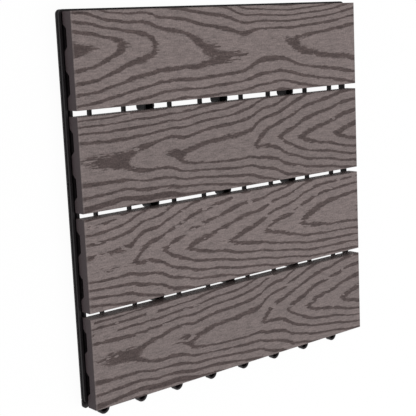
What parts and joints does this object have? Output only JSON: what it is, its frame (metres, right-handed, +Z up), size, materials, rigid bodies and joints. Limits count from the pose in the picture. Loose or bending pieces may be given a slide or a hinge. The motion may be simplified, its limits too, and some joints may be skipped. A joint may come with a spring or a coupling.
{
  "type": "interlocking deck tile",
  "caption": "Square deck tile of wood-grained composite slats screwed to a black plastic grid, with joining sockets on two sides and pegs on the other two.",
  "frame": {"origin": "on the ground, at the middle of the square that one tile takes in a laid deck, which is the middle of the slats", "axes": "+X along the slats towards the socket end, +Y across the slats away from the socket side, +Z up"},
  "size_m": [0.3149, 0.3149, 0.022],
  "materials": {
    "base_plastic": "moulded black polypropylene, satin",
    "slat_composite": "warm grey wood-plastic composite with embossed darker grain, matt",
    "screw_steel": "plain stainless"
  },
  "bodies": {
    "root": {"base_grid": "base_plastic", "slat_1": "slat_composite", "slat_2": "slat_composite", "slat_3": "slat_composite", "slat_4": "slat_composite", "slat_screws": "screw_steel"}
  },
  "joints": []
}
